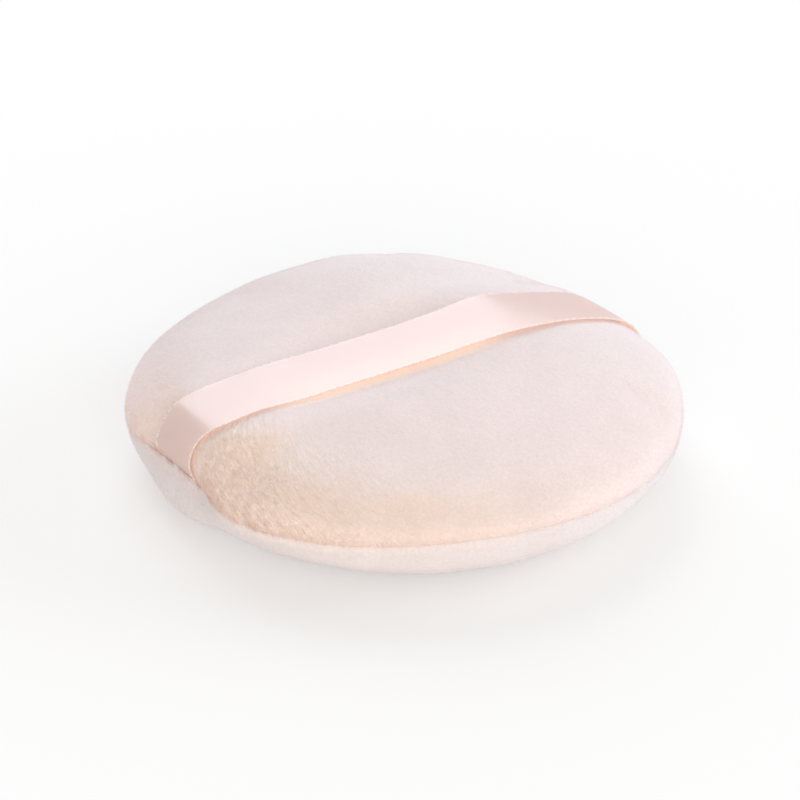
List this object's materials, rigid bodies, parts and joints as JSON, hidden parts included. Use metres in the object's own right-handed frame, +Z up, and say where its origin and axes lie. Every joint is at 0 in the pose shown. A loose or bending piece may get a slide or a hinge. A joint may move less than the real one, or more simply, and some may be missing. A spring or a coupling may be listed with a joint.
{
  "type": "powder puff",
  "caption": "Round velour powder puff: a soft crowned cushion sewn round its edge, with a satin ribbon across the top that fingers slide under.",
  "frame": {"origin": "middle of the flat underside, on the surface that the puff rests on", "axes": "+Z up through the crown, +X along the ribbon towards its right end"},
  "size_m": [0.0703, 0.07, 0.017],
  "materials": {
    "velour": "short dense pile, matt",
    "foam": "open-cell foam",
    "satin": "satin weave with selvedge",
    "thread": "spun thread"
  },
  "bodies": {
    "puff": {"top_cover": "velour", "bottom_cover": "velour", "foam_core": "foam", "ribbon_end_left": "satin", "ribbon_end_right": "satin", "seam_thread": "thread", "closing_thread": "thread"},
    "strap": {"ribbon_span": "satin"}
  },
  "joints": [
    {"name": "strap_lift", "type": "slide", "parent": "puff", "child": "strap", "axis": [0, 0, 1], "range_m": [0, 0.006]}
  ]
}
